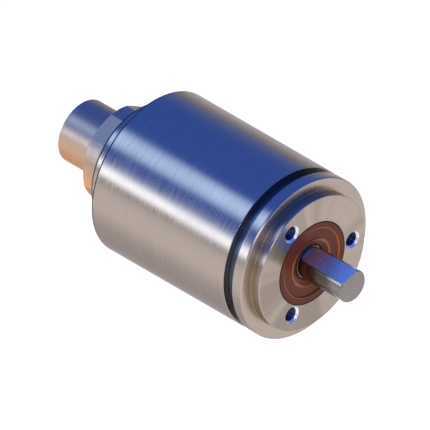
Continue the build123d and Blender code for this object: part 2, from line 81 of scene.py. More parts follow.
# Sizes that only the part's shape gives
RIM_DEPTH = 3.5
RIM_CHAMFER = 0.4
SPIGOT_CHAMFER = 0.2
TUBE_REAR_CHAMFER = 0.45
BOSS_CHAMFER = 0.5
HUB_R = 17.0
HUB_LIP_R = 11.0
PLATE_REAR = -14.0
HOLE_MOUTH_R = 2.7
HOLE_DEPTH = 9.0
DRILL_POINT = 0.9
THREAD_PITCH = 0.8
THREAD_DEPTH = 0.3
LEAD_IN_DEPTH = HOLE_MOUTH_R - HOLE_R
CLIP_FRONT = CLIP_REAR + 1.2
BOSS_R = 19.0
COVER_CAVITY_R = 16.0
COVER_SKIRT_BORE_R = 19.0
COVER_STEP_X = TUBE_REAR + 2.0
COVER_WALL = 3.8
TUBE_BORE_R = 23.0
O_RING_GROOVE_R = 21.4
O_RING_GROOVE_HALF = 1.1
HEX_ACROSS_FLATS = 27.8
HEX_REAR = -73.8
HEX_CHAMFER = 0.4
HEX_CHAMFER_RISE = 0.8
SHELL_R = 9.65
SOCKET_R = 8.2
SOCKET_FLOOR = -76.0
TAIL_BORE_R = 6.8
THREAD_R = 8.5
SHELL_WAIST_R = THREAD_R + 0.6
KEY_HALF_WIDTH = 0.8
KEY_HEIGHT = 0.9
KEY_SETBACK = 2.0
SHAFT_CHAMFER = 0.3
SHAFT_CLIP_GROOVE_DEPTH = 0.4
FLAT_HEIGHT = 4.0
FLAT_ANGLE = 107.0
FLAT_START = 2.7
RELIEF_FRONT = 3.45
RELIEF_REAR = 2.2
RELIEF_R = 4.75
JOURNAL_R = 4.0
TAIL_R = 1.5
JOURNAL_FRONT = -31.5
JOURNAL_REAR = -40.2

# The shaft seal: rubber over its steel case, two lips on the shaft, and a face with two raised rings
LIP_R = SHAFT_R + 0.04
SEAL_EDGE_CHAMFER = 0.25
SEAL_SKIN = 0.5
CASE_FRONT = SEAL_FRONT - 2.0
CASE_REAR = SEAL_FRONT - 2.6
CASE_BORE_R = 8.2
NECK_FRONT_R = 7.3
NECK_REAR_R = 6.9
LIP_REAR = SEAL_REAR + 1.1
MAIN_LIP = SEAL_REAR + 2.1
DUST_LIP = SEAL_FRONT - 1.4
SEAL_FLOOR = SEAL_FRONT - 0.5
INNER_RING_R = 7.3
OUTER_RING_R = 10.8
# Bands and depth of the painted sheen on the face's two raised rings
SHEEN_RING_BANDS = ((6.95, 7.7), (10.6, 11.0))
SHEEN_DEPTH = 0.45
# Width of the painted shade on the seal's outer edge
SEAL_SHADE_EDGE_WIDTH = 0.45

# How the modelling is done, not sizes of the part
LONGEST_ROUNDING = 0.4
SUPPORT_REACH = 1.2
# Width of the painted shade band before each rear chamfer
SHADE_BAND_WIDTH = 0.3
OVERSHOOT = 1.0
OVERLAP = 0.5
ON_FACE = 0.01


# ---------------------------------------------------------------- shapes

def rounded(corners, steps=4):
    """Closed outline with each (x, radius, rounding) corner replaced by a short curve.

    A curve takes up no more than a part of the lines beside it. A point just before and just
    after it keeps the long faces there truly straight.
    """
    count = len(corners)
    points = []
    for i, (x, r, rounding) in enumerate(corners):
        here = Vector((x, r))
        if rounding == 0:
            points.append((x, r))
            continue
        before = Vector(corners[i - 1][:2]) - here
        after = Vector(corners[(i + 1) % count][:2]) - here
        reach = min(rounding, LONGEST_ROUNDING * before.length, LONGEST_ROUNDING * after.length)
        start = here + before.normalized() * reach
        end = here + after.normalized() * reach
        lead_in = here + before.normalized() * reach * SUPPORT_REACH
        lead_out = here + after.normalized() * reach * SUPPORT_REACH
        points.append(tuple(lead_in))
        for step in range(steps + 1):
            t = step / steps
            points.append(tuple(start * (1 - t) ** 2 + here * 2 * t * (1 - t) + end * t * t))
        points.append(tuple(lead_out))
    return points


def new_object(name, mesh):
    piece = bpy.data.objects.new(name, mesh)
    bpy.context.scene.collection.objects.link(piece)
    return piece


def object_from(name, bm):
    """Ends the editing of a mesh and makes it an object."""
    mesh = bpy.data.meshes.new(name)
    bm.to_mesh(mesh)
    bm.free()
    return new_object(name, mesh)


def lathe(name, corners, segments=192, steps=4):
    """Closed solid turned about X from half a section. Corners on the axis have radius 0."""
    bm = bmesh.new()
    turn = [2 * pi * k / segments for k in range(segments)]
    rings = []
    for x, r in rounded(corners, steps):
        if r == 0:
            rings.append([bm.verts.new((x * MM, 0, 0))])
            continue
        rings.append([bm.verts.new((x * MM, r * MM * cos(a), r * MM * sin(a))) for a in turn])
    for i, ring in enumerate(rings):
        following = rings[(i + 1) % len(rings)]
        if len(ring) == 1 and len(following) == 1:
            continue
        for k in range(segments):
            following_k = (k + 1) % segments
            quad = [ring[k % len(ring)], ring[following_k % len(ring)]]
            quad += [following[following_k % len(following)], following[k % len(following)]]
            bm.faces.new(list(dict.fromkeys(quad)))
    bmesh.ops.recalc_face_normals(bm, faces=bm.faces)
    return object_from(name, bm)


def applied(piece):
    """Replaces the piece's mesh with what its modifiers make of it."""
    graph = bpy.context.evaluated_depsgraph_get()
    mesh = bpy.data.meshes.new_from_object(piece.evaluated_get(graph))
    piece.modifiers.clear()
    piece.data = mesh
    return piece


def combine(piece, tools, operation="DIFFERENCE"):
    """Cuts, joins or crosses the piece with each tool, and removes the tools."""
    for tool in tools:
        cut = piece.modifiers.new("combine", "BOOLEAN")
        cut.operation = operation
        cut.solver = "EXACT"
        cut.object = tool
    applied(piece)
    for tool in tools:
        bpy.data.objects.remove(tool)
    return piece


def shade(piece, sharp_degrees=32.0, bevel=0.0):
    """Smooth shading with sharp corners kept, and a fine bevel where one is asked for."""
    if bevel:
        edge = piece.modifiers.new("edge", "BEVEL")
        edge.width = bevel * MM
        edge.segments = 3
        edge.limit_method = "ANGLE"
        edge.angle_limit = radians(sharp_degrees)
        edge.use_clamp_overlap = True
        applied(piece)
    mesh = piece.data
    mesh.polygons.foreach_set("use_smooth", [True] * len(mesh.polygons))
    bm = bmesh.new()
    bm.from_mesh(mesh)
    for edge in bm.edges:
        if len(edge.link_faces) == 2:
            edge.smooth = edge.calc_face_angle() < radians(sharp_degrees)
    bm.to_mesh(mesh)
    bm.free()
    weights = piece.modifiers.new("weights", "WEIGHTED_NORMAL")
    weights.keep_sharp = True
    return piece


def paint(piece, material, wanted, centre=(0.0, 0.0)):
    """Gives the faces whose (x, radius about the centre) are wanted this material, over the slot's own."""
    materials = piece.data.materials
    if not materials:
        materials.append(MATERIALS["anodised_aluminium"])
    if material.name not in materials:
        materials.append(material)
    index = list(materials).index(material)
    for polygon in piece.data.polygons:
        middle = polygon.center / MM
        radius = Vector((middle.y - centre[0], middle.z - centre[1])).length
        if wanted(middle.x, radius):
            polygon.material_index = index


def place_at(piece, radius, degrees):
    """Moves a piece made on the axis to this radius and angle about it."""
    angle = radians(degrees)
    piece.data.transform(Matrix.Translation((0, radius * MM * cos(angle), radius * MM * sin(angle))))
    return piece


def box_piece(name, low, high):
    """Block between two opposite corners in millimetres."""
    bm = bmesh.new()
    bmesh.ops.create_cube(bm, size=1.0)
    size = [(end - start) * MM for start, end in zip(low, high)]
    middle = [(end + start) / 2 * MM for start, end in zip(low, high)]
    bm.transform(Matrix.Translation(middle) @ Matrix.Diagonal((*size, 1)))
    return object_from(name, bm)


def turn_about_x(piece, degrees):
    """Turns a piece about the shaft's axis."""
    piece.data.transform(Matrix.Rotation(radians(degrees), 4, "X"))
    return piece


# ---------------------------------------------------------------- materials

class Nodes:
    """Small helper around the node tree of a material or of the world."""

    def __init__(self, owner):
        owner.use_nodes = True
        self.tree = owner.node_tree

    def add(self, kind, **settings):
        node = self.tree.nodes.new(kind)
        for key, value in settings.items():
            setattr(node, key, value)
        return node

    def link(self, source, target):
        self.tree.links.new(source, target)

    def math(self, operation, a, b=None):
        node = self.add("ShaderNodeMath", operation=operation)
        for slot, value in enumerate((a, b)):
            if value is None:
                continue
            if hasattr(value, "is_output"):
                self.link(value, node.inputs[slot])
            else:
                node.inputs[slot].default_value = value
        return node.outputs[0]

    def length(self, a, b):
        """Length of the two legs a and b taken at a right angle."""
        square = self.math("ADD", self.math("MULTIPLY", a, a), self.math("MULTIPLY", b, b))
        return self.math("SQRT", square)

    def vector(self, x=None, y=None, z=None):
        node = self.add("ShaderNodeCombineXYZ")
        for slot, value in enumerate((x, y, z)):
            if value is not None:
                self.link(value, node.inputs[slot])
        return node.outputs[0]

    def coordinates(self):
        """Object coordinates, whole and in parts, and the distance from the turning axis."""
        place = self.add("ShaderNodeTexCoord").outputs["Object"]
        parts = self.add("ShaderNodeSeparateXYZ")
        self.link(place, parts.inputs[0])
        x, y, z = parts.outputs
        return place, x, y, z, self.length(y, z)

    def noise(self, vector, scale, detail=3.0, roughness=0.6):
        node = self.add("ShaderNodeTexNoise")
        node.inputs["Scale"].default_value = scale
        node.inputs["Detail"].default_value = detail
        node.inputs["Roughness"].default_value = roughness
        self.link(vector, node.inputs["Vector"])
        return node.outputs["Fac"]

    def ramp(self, value, low, high, to_low=0.0, to_high=1.0, interpolation="LINEAR"):
        node = self.add("ShaderNodeMapRange", interpolation_type=interpolation)
        node.inputs["From Min"].default_value = low
        node.inputs["From Max"].default_value = high
        node.inputs["To Min"].default_value = to_low
        node.inputs["To Max"].default_value = to_high
        self.link(value, node.inputs["Value"])
        return node.outputs["Result"]

    def mix(self, factor, colour_a, colour_b):
        node = self.add("ShaderNodeMix", data_type="RGBA")
        self.link(factor, node.inputs["Factor"])
        for key, colour in (("A", colour_a), ("B", colour_b)):
            socket = [s for s in node.inputs if s.name == key and s.type == "RGBA"][0]
            if hasattr(colour, "is_output"):
                self.link(colour, socket)
            else:
                socket.default_value = (*colour, 1)
        return [s for s in node.outputs if s.type == "RGBA"][0]


class MaterialNodes(Nodes):
    """A new material with its one shader."""

    def __init__(self, name):
        self.material = bpy.data.materials.new(name)
        super().__init__(self.material)
        self.shader = self.tree.nodes["Principled BSDF"]

    def bump(self, height, strength, distance):
        node = self.add("ShaderNodeBump")
        node.inputs["Strength"].default_value = strength
        node.inputs["Distance"].default_value = distance
        self.link(height, node.inputs["Height"])
        self.link(node.outputs["Normal"], self.shader.inputs["Normal"])


def scaled(colour, factor):
    return tuple(channel * factor for channel in colour)


# Noise mostly stays in this range.
NOISE_RANGE = (0.3, 0.7)
# Noise cells per metre along a brushed and a polished line: the fewer, the longer the streaks
BRUSHED_STREAKS = 70.0
POLISHED_STREAKS = 200.0
# Half height of the soft change between the painted reflection colours of the lower and upper sides
TOP_BOTTOM_REFLECTION_BLEND = 4 * MM
# The code tracks of the disc
TRACK_INNER_R = 14.2 * MM
TRACK_OUTER_R = 16.4 * MM
TRACK_PERIODS = 256.0
INK = (0.02, 0.02, 0.022)


def brushed(name, colour, roughness=0.24, grain=0.5, anisotropy=0.7, lines=2600.0,
            relief=0.000004, fan=0.0, upper=None):
    """Metal brushed round and round the turning axis: fine lines, broken into short streaks.

    On a turned end face, fan is how strongly the tone changes from one direction to another: painted fans
    of reflection, lighter towards +Y and +Z.
    Where upper is given, it is a painted reflection: the upper side gets that colour, the lower side keeps
    the main one.
    """
    n = MaterialNodes(name)
    place, x, y, z, r = n.coordinates()
    across = n.math("ADD", n.math("MULTIPLY", x, lines), n.math("MULTIPLY", r, lines))
    along_y = n.math("MULTIPLY", y, BRUSHED_STREAKS)
    along_z = n.math("MULTIPLY", z, BRUSHED_STREAKS)
    fine = n.noise(n.vector(across, along_y, along_z), scale=1.0, detail=4.0, roughness=0.7)
    broad = n.noise(place, scale=60.0, detail=2.0, roughness=0.5)
    tone = n.ramp(fine, *NOISE_RANGE)
    metal = n.mix(tone, scaled(colour, 1 - 0.16 * grain), scaled(colour, 1 + 0.08 * grain))
    # Painted reflection fans: lighter and darker rays by direction round the axis, lighter towards +Y and
    # +Z.
    if fan:
        direction = n.vector(y=n.math("DIVIDE", y, r), z=n.math("DIVIDE", z, r))
        painted_side_lean = n.math("MULTIPLY", n.math("DIVIDE", n.math("ADD", y, z), r), 0.10)
        rays = n.noise(direction, scale=2.6, detail=3.0, roughness=0.5)
        painted_fan_mask = n.ramp(n.math("ADD", rays, painted_side_lean), 0.35, 0.62)
        metal = n.mix(painted_fan_mask, scaled(colour, 1 - fan), metal)
    # Painted reflection: another colour on the upper side than on the lower side.
    if upper:
        metal = n.mix(n.ramp(z, -TOP_BOTTOM_REFLECTION_BLEND, TOP_BOTTOM_REFLECTION_BLEND), metal, upper)
    n.link(metal, n.shader.inputs["Base Color"])
    line_rough = n.ramp(fine, *NOISE_RANGE, roughness * 0.8, roughness * 1.25)
    patch_rough = n.ramp(broad, *NOISE_RANGE, -0.02, 0.02)
    n.link(n.math("ADD", line_rough, patch_rough), n.shader.inputs["Roughness"])
    n.shader.inputs["Metallic"].default_value = 1.0
    n.shader.inputs["Specular Tint"].default_value = (0.60, 0.58, 0.56, 1)
    n.shader.inputs["Anisotropic"].default_value = anisotropy
    n.shader.inputs["Anisotropic Rotation"].default_value = 0.25
    tangent = n.add("ShaderNodeTangent", direction_type="RADIAL", axis="X")
    n.link(tangent.outputs[0], n.shader.inputs["Tangent"])
    n.bump(fine, grain, relief)
    return n.material


def polished(name, colour, roughness=0.08, lines=9000.0, relief=0.0000006):
    """Ground and polished metal with the faintest marks round the axis."""
    n = MaterialNodes(name)
    place, x, y, z, r = n.coordinates()
    across = n.math("MULTIPLY", n.math("ADD", x, r), lines)
    along_y = n.math("MULTIPLY", y, POLISHED_STREAKS)
    along_z = n.math("MULTIPLY", z, POLISHED_STREAKS)
    fine = n.noise(n.vector(across, along_y, along_z), scale=1.0, detail=2.0)
    tone = n.ramp(n.noise(place, scale=260.0), 0.35, 0.65)
    n.link(n.mix(tone, scaled(colour, 0.96), colour), n.shader.inputs["Base Color"])
    rough = n.ramp(fine, *NOISE_RANGE, roughness * 0.7, roughness * 1.4)
    n.link(rough, n.shader.inputs["Roughness"])
    n.shader.inputs["Metallic"].default_value = 1.0
    n.bump(fine, 0.4, relief)
    return n.material


def moulded(name, colour, roughness=0.45, grain_scale=900.0, relief=0.00001, coat=0.0,
            glint=None):
    """Rubber or plastic with a fine moulded grain and slight tone changes. Glint tints its highlights."""
    n = MaterialNodes(name)
    place = n.coordinates()[0]
    fine = n.noise(place, grain_scale, detail=4.0)
    tone = n.ramp(n.noise(place, scale=90.0), *NOISE_RANGE)
    n.link(n.mix(tone, scaled(colour, 0.85), scaled(colour, 1.15)), n.shader.inputs["Base Color"])
    rough = n.ramp(fine, *NOISE_RANGE, roughness * 0.85, roughness * 1.15)
    n.link(rough, n.shader.inputs["Roughness"])
    if glint:
        n.shader.inputs["Specular Tint"].default_value = (*glint, 1)
        n.shader.inputs["Specular IOR Level"].default_value = 0.2
    n.shader.inputs["Coat Weight"].default_value = coat
    n.shader.inputs["Coat Roughness"].default_value = 0.2
    n.bump(fine, 0.35, relief)
    return n.material


def clear(name, colour, etched=False):
    """Clear optics, with dark radial code tracks where etched."""
    n = MaterialNodes(name)
    place, x, y, z, r = n.coordinates()
    n.shader.inputs["Transmission Weight"].default_value = 1.0
    n.shader.inputs["IOR"].default_value = 1.5
    haze = n.noise(place, scale=400.0, detail=2.0)
    n.link(n.ramp(haze, *NOISE_RANGE, 0.02, 0.07), n.shader.inputs["Roughness"])
    if not etched:
        n.link(n.mix(haze, colour, scaled(colour, 0.97)), n.shader.inputs["Base Color"])
        return n.material
    wave = n.math("SINE", n.math("MULTIPLY", n.math("ARCTAN2", z, y), TRACK_PERIODS))
    outside = n.math("GREATER_THAN", r, TRACK_INNER_R)
    inside = n.math("LESS_THAN", r, TRACK_OUTER_R)
    in_track = n.math("MULTIPLY", outside, inside)
    track = n.math("MULTIPLY", n.math("GREATER_THAN", wave, 0.0), in_track)
    n.link(n.mix(track, colour, INK), n.shader.inputs["Base Color"])
    n.link(n.math("SUBTRACT", 1.0, track), n.shader.inputs["Transmission Weight"])
    return n.material


WARM_METAL = (0.44, 0.36, 0.275)
MATERIALS = {
    "anodised_aluminium": brushed("anodised_aluminium", WARM_METAL),
    "ground_stainless": polished("ground_stainless", (0.25, 0.22, 0.185), roughness=0.18),
    "brown_fluoroelastomer": moulded(
        "brown_fluoroelastomer", (0.080, 0.016, 0.005),
        roughness=0.30, grain_scale=700.0, relief=0.000006, glint=(1.0, 0.45, 0.22),
    ),
    "black_nitrile": moulded("black_nitrile", (0.02, 0.02, 0.022), roughness=0.5),
    "sheet_steel": brushed("sheet_steel", (0.5, 0.5, 0.51), roughness=0.3, grain=0.6),
    "spring_steel": polished("spring_steel", (0.32, 0.32, 0.34), roughness=0.2),
    "bearing_steel": polished("bearing_steel", (0.66, 0.66, 0.68), roughness=0.06),
    "turned_aluminium": brushed(
        "turned_aluminium", (0.7, 0.7, 0.71), roughness=0.22, grain=0.7, anisotropy=0.6, lines=1800.0
    ),
    "turned_brass": brushed(
        "turned_brass", (0.72, 0.50, 0.22), roughness=0.2, grain=0.6, anisotropy=0.5, lines=2200.0
    ),
    "plated_screws": polished("plated_screws", (0.6, 0.6, 0.6), roughness=0.16),
    "black_screws": moulded("black_screws", (0.03, 0.03, 0.03), roughness=0.35),
    "coded_glass": clear("coded_glass", (0.9, 0.95, 0.95), etched=True),
    "clear_lens": clear("clear_lens", (0.95, 0.97, 1.0)),
    "green_board": moulded("green_board", (0.03, 0.16, 0.07), roughness=0.3, grain_scale=500.0, coat=0.4),
    "amber_film": moulded(
        "amber_film", (0.5, 0.22, 0.03), roughness=0.25, grain_scale=500.0, relief=0.000004, coat=0.5
    ),
    "black_plastic": moulded("black_plastic", (0.025, 0.025, 0.028), roughness=0.42),
    "white_plastic": moulded("white_plastic", (0.75, 0.74, 0.7), roughness=0.4),
    "white_acetal": moulded("white_acetal", (0.82, 0.81, 0.77), roughness=0.3),
    "magnet": polished("magnet", (0.4, 0.4, 0.42), roughness=0.18),
    # Painted reflection: warm orange on the lower side, a paler colour on the upper side.
    "connector_metal": brushed(
        "connector_metal", (0.80, 0.405, 0.185), roughness=0.36, grain=0.2, anisotropy=0.0,
        lines=3000.0, relief=0.000001, upper=(0.46, 0.345, 0.24),
    ),
    "gold_contacts": polished("gold_contacts", (0.83, 0.6, 0.2), roughness=0.12),
    "lead_insulation": moulded("lead_insulation", (0.55, 0.08, 0.05), roughness=0.4),
}
# Painted light on single faces: painted shade in the synchro groove, the face holes, along the rear edges
# and on the seal's outer edge; painted highlights on the hole lead-ins and the shaft's flat; painted
# reflection fans on the front face; painted sheen on the seal's rings
# Painted shade in the synchro groove: dark steel on its floor and front wall.
GROOVE_SHADE_PAINT = brushed("groove_metal", (0.10, 0.12, 0.16), roughness=0.3, grain=0.6)
# Painted reflection fans on the front face: the tone swings by direction round the axis.
FACE_METAL_PAINTED_FANS = brushed("face_metal", WARM_METAL, fan=0.3)
# Painted shade inside the face holes: near-black blue steel on bores and threads.
HOLE_SHADE_PAINT = brushed("hole_metal", (0.045, 0.055, 0.10), roughness=0.3, grain=0.4)
# Painted highlight on the hole lead-ins: a much lighter copy of the face's metal.
LEAD_IN_HIGHLIGHT_PAINT = polished("lead_in_metal", (0.80, 0.78, 0.72), roughness=0.38)
# Painted shade along the rear edges of the tube and the cover.
EDGE_SHADE_PAINT = brushed("dark_edge", (0.035, 0.040, 0.06), roughness=0.35, grain=0.4)
# Painted highlight on the shaft's flat: a far lighter copy of the shaft's steel.
FLAT_HIGHLIGHT_PAINT = polished("flat_metal", (0.90, 0.86, 0.74), roughness=0.36)
# Painted sheen on the seal's two raised rings: the brown rubber as shiny metal.
RING_SHEEN_PAINT = polished("bead_rubber", (0.28, 0.085, 0.030), roughness=0.24)
# Painted shade on the seal's outer edge: a near-black copy of the brown rubber.
SEAL_EDGE_SHADE_PAINT = moulded(
    "edge_rubber", (0.020, 0.008, 0.005),
    roughness=0.4, grain_scale=700.0, relief=0.000006, glint=(0.5, 0.25, 0.15),
)

# Every CAD node starts with the material of its own slot.
NODE_SLOTS = {part["node"]: part["material_slot"] for part in frame["record"]["subparts"]}
for node_name, node in frame["nodes"].items():
    node.data.materials.clear()
    node.data.materials.append(MATERIALS[NODE_SLOTS[node_name]])


def finish_piece(piece, body, *nodes):
    """Attaches a new piece to its body, hides the CAD nodes it stands for, and gives it their slot's
    material when it has none.
    """
    slot = NODE_SLOTS[nodes[0]]
    if not piece.data.materials:
        piece.data.materials.append(MATERIALS[slot])
    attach(piece, body)
    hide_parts(*nodes)
    return piece


# ---------------------------------------------------------------- camera

TARGET = Vector((-22.6, -12.65, 9.94)) * MM
TOWARDS_CAMERA = Vector((1, -1, 1)).normalized()
VIEW_HEIGHT = 120.7 * MM
CAMERA_DISTANCE = 0.45

camera_data = bpy.data.cameras.new("camera")
camera_data.type = "ORTHO"
camera_data.ortho_scale = VIEW_HEIGHT
camera_data.clip_start = 0.001
camera_data.clip_end = 50.0
camera = bpy.data.objects.new("camera", camera_data)
bpy.context.scene.collection.objects.link(camera)
camera.location = TARGET + TOWARDS_CAMERA * CAMERA_DISTANCE
camera.rotation_euler = (-TOWARDS_CAMERA).to_track_quat("-Z", "Y").to_euler()
bpy.context.scene.camera = camera
bpy.context.scene.view_settings.view_transform = "Standard"


# ---------------------------------------------------------------- housing

def threaded_drill(name):
    """Cutter for one face hole: countersunk mouth, V threads, drill point."""
    x = FACE_X - LEAD_IN_DEPTH
    corners = [
        (FACE_X + OVERSHOOT, 0, 0),
        (FACE_X + OVERSHOOT, HOLE_MOUTH_R, 0),
        (FACE_X, HOLE_MOUTH_R, 0),
        (x, HOLE_R, 0),
    ]
    while x - THREAD_PITCH > FACE_X - HOLE_DEPTH:
        corners.append((x - THREAD_PITCH / 2, HOLE_R + THREAD_DEPTH, 0))
        corners.append((x - THREAD_PITCH, HOLE_R, 0))
        x -= THREAD_PITCH
    corners.append((FACE_X - HOLE_DEPTH - DRILL_POINT, 0, 0))
    return lathe(name, corners, segments=48)


def o_ring_notch(x):
    """Section corners of a square O-ring groove in an outside diameter, front to rear."""
    half = O_RING_GROOVE_HALF
    return [
        (x + half, REGISTER_R, 0.1),
        (x + half, O_RING_GROOVE_R, 0.1),
        (x - half, O_RING_GROOVE_R, 0.1),
        (x - half, REGISTER_R, 0.1),
    ]


def middle_x(node):
    """X of the middle of a CAD node, in millimetres."""
    low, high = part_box(node)
    return (low.x + high.x) / 2 / MM


flange = lathe("front_flange_visual", [
    (FACE_X, SEAL_R, 0.08),
    (FACE_X, SPIGOT_R - SPIGOT_CHAMFER, 0.06),
    (FACE_X - SPIGOT_CHAMFER, SPIGOT_R, 0.06),
    (0.0, SPIGOT_R, 0.12),
    (0.0, BODY_R - RIM_CHAMFER, 0.12),
    (-RIM_CHAMFER, BODY_R, 0.12),
    (-RIM_DEPTH, BODY_R, 0.1),
    (-RIM_DEPTH, REGISTER_R, 0.15),
    *o_ring_notch(middle_x("flange_o_ring")),
    (PLATE_REAR, REGISTER_R, 0.2),
    (PLATE_REAR, HUB_R, 0.4),
    (HUB_REAR, HUB_R, 0.3),
    (HUB_REAR, BEARING_R, 0.2),
    (CLIP_REAR, BEARING_R, 0.05),
    (CLIP_REAR, CLIP_GROOVE_R, 0.05),
    (CLIP_FRONT, CLIP_GROOVE_R, 0.05),
    (CLIP_FRONT, BEARING_R, 0.05),
    (BEARING_FRONT, BEARING_R, 0.1),
    (BEARING_FRONT, HUB_LIP_R, 0.1),
    (SEAL_REAR, HUB_LIP_R, 0.1),
    (SEAL_REAR, SEAL_R, 0.1),
])
hole_angles = [360.0 * hole / HOLE_COUNT for hole in range(HOLE_COUNT)]
combine(flange, [place_at(threaded_drill("drill"), HOLE_CIRCLE_R, angle) for angle in hole_angles])
# The groove's painted shade takes its front wall too, but not the rim's rounded edge.
groove_front = -RIM_DEPTH + ON_FACE
groove_rear = TUBE_FRONT - 0.5
rim_r = BODY_R - 0.08
paint(flange, GROOVE_SHADE_PAINT, lambda x, r: groove_rear < x < groove_front and r < rim_r)
# Painted reflection fans on the front face.
paint(flange, FACE_METAL_PAINTED_FANS, lambda x, r: x > FACE_X - ON_FACE and r > SEAL_R)
lead_in_end = FACE_X - LEAD_IN_DEPTH
lead_in_start = FACE_X - 2 * ON_FACE
# Painted shade inside each face hole, painted highlight on its lead-in.
for angle in hole_angles:
    centre = (HOLE_CIRCLE_R * cos(radians(angle)), HOLE_CIRCLE_R * sin(radians(angle)))
    paint(flange, HOLE_SHADE_PAINT, lambda x, r: x < lead_in_end and r < HOLE_MOUTH_R, centre)
    paint(flange, LEAD_IN_HIGHLIGHT_PAINT, lambda x, r: lead_in_end < x < lead_in_start and r < HOLE_MOUTH_R, centre)
shade(flange)
finish_piece(flange, "housing", "front_flange")

tube_edge_x = TUBE_REAR + TUBE_REAR_CHAMFER + SHADE_BAND_WIDTH
tube = lathe("housing_tube_visual", [
    (TUBE_FRONT, TUBE_BORE_R, 0.1),
    (TUBE_FRONT, TUBE_R, 0.22),
    (tube_edge_x, TUBE_R, 0),
    (TUBE_REAR + TUBE_REAR_CHAMFER, TUBE_R, 0.06),
    (TUBE_REAR, TUBE_R - TUBE_REAR_CHAMFER, 0.06),
    (TUBE_REAR, TUBE_BORE_R, 0.1),
], segments=256)
# Painted shade on the tube's rear chamfer and a narrow band before it.
paint(tube, EDGE_SHADE_PAINT, lambda x, r: x < tube_edge_x and r > TUBE_R - TUBE_REAR_CHAMFER)
shade(tube)
finish_piece(tube, "housing", "housing_tube")

cover_edge_x = COVER_REAR + BOSS_CHAMFER + SHADE_BAND_WIDTH
cover = lathe("rear_cover_visual", [
    (COVER_FRONT, COVER_SKIRT_BORE_R, 0.2),
    (COVER_FRONT, REGISTER_R, 0.2),
    *o_ring_notch(middle_x("cover_o_ring")),
    (TUBE_REAR, REGISTER_R, 0.1),
    (TUBE_REAR, BOSS_R, 0.15),
    (cover_edge_x, BOSS_R, 0),
    (COVER_REAR + BOSS_CHAMFER, BOSS_R, 0.05),
    (COVER_REAR, BOSS_R - BOSS_CHAMFER, 0.05),
    (COVER_REAR, THREAD_R, 0.1),
    (COVER_REAR + COVER_WALL, THREAD_R, 0.1),
    (COVER_REAR + COVER_WALL, COVER_CAVITY_R, 0.3),
    (COVER_STEP_X, COVER_CAVITY_R, 0.2),
    (COVER_STEP_X, COVER_SKIRT_BORE_R, 0.2),
])
# Painted shade on the boss's rear chamfer and a narrow band before it.
paint(cover, EDGE_SHADE_PAINT, lambda x, r: x < cover_edge_x and r > BOSS_R - BOSS_CHAMFER)
shade(cover)
finish_piece(cover, "housing", "rear_cover")


# ---------------------------------------------------------------- shaft seal

seal = lathe("seal_rubber_visual", [
    (SEAL_FRONT, SEAL_R - SEAL_EDGE_CHAMFER, 0.15),
    (SEAL_FRONT - SEAL_EDGE_CHAMFER, SEAL_R, 0.1),
    (SEAL_REAR, SEAL_R, 0.2),
    (SEAL_REAR, SEAL_R - SEAL_SKIN, 0.1),
    (CASE_FRONT, SEAL_R - SEAL_SKIN, 0.05),
    (CASE_FRONT, CASE_BORE_R, 0.05),
    (CASE_REAR, CASE_BORE_R, 0.05),
    (CASE_REAR, NECK_FRONT_R, 0.3),
    (LIP_REAR, NECK_REAR_R, 0.3),
    (LIP_REAR, LIP_R + 0.9, 0.2),
    (MAIN_LIP, LIP_R, 0.05),
    (SEAL_REAR + 2.8, LIP_R + 0.7, 0.1),
    (SEAL_FRONT - 2.1, LIP_R + 0.7, 0.2),
    (DUST_LIP, LIP_R, 0.05),
    (SEAL_FRONT - 0.9, LIP_R + 0.5, 0.2),
    (SEAL_FRONT - 0.42, INNER_RING_R - 0.35, 0.15),
    (SEAL_FRONT - 0.12, INNER_RING_R, 0.3),
    (SEAL_FLOOR, INNER_RING_R + 0.5, 0.3),
    (SEAL_FLOOR, OUTER_RING_R - 0.25, 0.2),
    (SEAL_FRONT - 0.1, OUTER_RING_R, 0.15),
    (SEAL_FRONT, OUTER_RING_R + 0.3, 0.1),
], segments=160, steps=6)
seal.data.materials.append(MATERIALS["brown_fluoroelastomer"])
# Painted shade on the seal's outer edge.
paint(seal, SEAL_EDGE_SHADE_PAINT, lambda x, r: r > SEAL_R - SEAL_SHADE_EDGE_WIDTH)
# Painted sheen on the face's two raised rings.
for inner_r, outer_r in SHEEN_RING_BANDS:
    paint(seal, RING_SHEEN_PAINT, lambda x, r: x > SEAL_FRONT - SHEEN_DEPTH and inner_r < r < outer_r)
shade(seal, 60.0)
finish_piece(seal, "housing", "seal_rubber")


# ---------------------------------------------------------------- shaft

shaft = lathe("shaft_visual", [
    (SHAFT_TIP, 0, 0),
    (SHAFT_TIP, SHAFT_R - SHAFT_CHAMFER, 0.06),
    (SHAFT_TIP - SHAFT_CHAMFER, SHAFT_R, 0.06),
    (RELIEF_FRONT, SHAFT_R, 0.03),
    (RELIEF_FRONT, RELIEF_R, 0.03),
    (RELIEF_REAR, RELIEF_R, 0.03),
    (RELIEF_REAR, SHAFT_R, 0.03),
    (SPACER_FRONT, SHAFT_R, 0.1),
    (SPACER_FRONT, COLLAR_R, 0.2),
    (SPACER_REAR, COLLAR_R, 0.2),
    (SPACER_REAR, SHAFT_R, 0.1),
    (SHAFT_CLIP_FRONT, SHAFT_R, 0.05),
    (SHAFT_CLIP_FRONT, SHAFT_R - SHAFT_CLIP_GROOVE_DEPTH, 0.05),
    (SHAFT_CLIP_REAR, SHAFT_R - SHAFT_CLIP_GROOVE_DEPTH, 0.05),
    (SHAFT_CLIP_REAR, SHAFT_R, 0.05),
    (JOURNAL_FRONT, SHAFT_R, 0.3),
    (JOURNAL_FRONT, JOURNAL_R, 0.2),
    (JOURNAL_REAR, JOURNAL_R, 0.3),
    (JOURNAL_REAR, TAIL_R, 0.2),
    (SHAFT_TAIL, TAIL_R, 0.2),
    (SHAFT_TAIL, 0, 0),
], segments=160)
flat_low = (FLAT_START, FLAT_HEIGHT, -2 * SHAFT_R)
